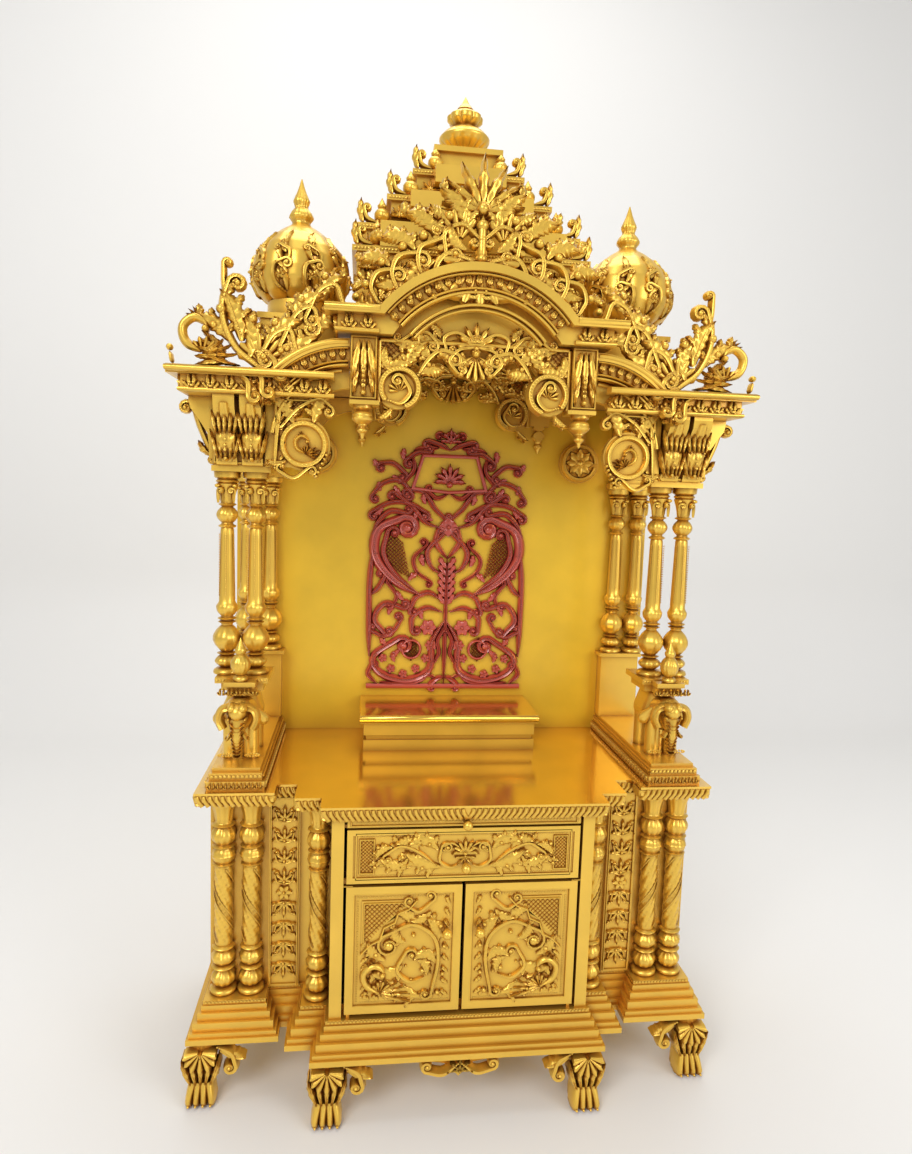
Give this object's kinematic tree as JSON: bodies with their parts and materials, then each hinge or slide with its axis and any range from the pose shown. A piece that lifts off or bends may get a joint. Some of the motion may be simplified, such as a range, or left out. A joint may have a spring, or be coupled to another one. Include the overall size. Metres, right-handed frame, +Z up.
{
  "type": "wooden pooja mandir",
  "caption": "Carved wooden home shrine: cabinet with doors, drawer and pull-out tray on paw feet, under an arched canopy with domes and a stepped tower.",
  "frame": {"origin": "on the floor, under the middle of the whole object's box", "axes": "+X to the right seen from the front, +Y to the back, +Z up"},
  "size_m": [1.22, 0.558, 2.223],
  "materials": {
    "gold_wood": "metallic gold paint, semi-gloss, browner in the carved hollows",
    "gloss_gold": "smooth lacquered gold paint, glossy",
    "red_lattice": "rose red lacquer with darker red edges, glossy"
  },
  "bodies": {
    "root": {"centre_feet": "gold_wood", "corner_feet": "gold_wood", "foot_brackets": "gold_wood", "plinth": "gold_wood", "cabinet_floor": "gold_wood", "cabinet_back": "gold_wood", "side_walls": "gold_wood", "inner_walls": "gold_wood", "front_frame": "gold_wood", "carved_strips": "gold_wood", "base_columns": "gold_wood", "table_top": "gloss_gold", "door_pivots": "gold_wood", "slide_runners": "gold_wood", "back_panel": "gloss_gold", "seat_body": "gold_wood", "seat_top": "gloss_gold", "lattice": "red_lattice", "side_rails": "gold_wood", "left_elephant": "gold_wood", "right_elephant": "gold_wood", "bracket_plates": "gold_wood", "kalash_urns": "gold_wood", "front_columns": "gold_wood", "rear_pedestals": "gold_wood", "rear_columns": "gold_wood", "cap_slabs": "gold_wood", "capital_blocks": "gold_wood", "side_beams": "gold_wood", "wing_cornices": "gold_wood", "wing_brackets": "gold_wood", "pendant_posts": "gold_wood", "centre_fascia": "gold_wood", "centre_cornice": "gold_wood", "rear_arch": "gold_wood", "roof_boards": "gold_wood", "dome_boxes": "gold_wood", "domes": "gold_wood", "tower_lower": "gold_wood", "tower_upper": "gold_wood", "main_finial": "gold_wood", "centre_crest": "gold_wood", "wing_crests": "gold_wood"},
    "left_door": {"left_door": "gold_wood"},
    "right_door": {"right_door": "gold_wood"},
    "drawer": {"drawer": "gold_wood"},
    "tray": {"tray": "gold_wood"}
  },
  "joints": [
    {"name": "left_door_hinge", "type": "hinge", "parent": "root", "child": "left_door", "pos_m": [-0.233, -0.236, 0.353], "axis": [0, 0, -1], "range_deg": [0, 100]},
    {"name": "right_door_hinge", "type": "hinge", "parent": "root", "child": "right_door", "pos_m": [0.233, -0.236, 0.353], "axis": [0, 0, 1], "range_deg": [0, 100]},
    {"name": "drawer_slide", "type": "slide", "parent": "root", "child": "drawer", "axis": [0, -1, 0], "range_m": [0, 0.26]},
    {"name": "tray_slide", "type": "slide", "parent": "root", "child": "tray", "axis": [0, -1, 0], "range_m": [0, 0.24]}
  ]
}
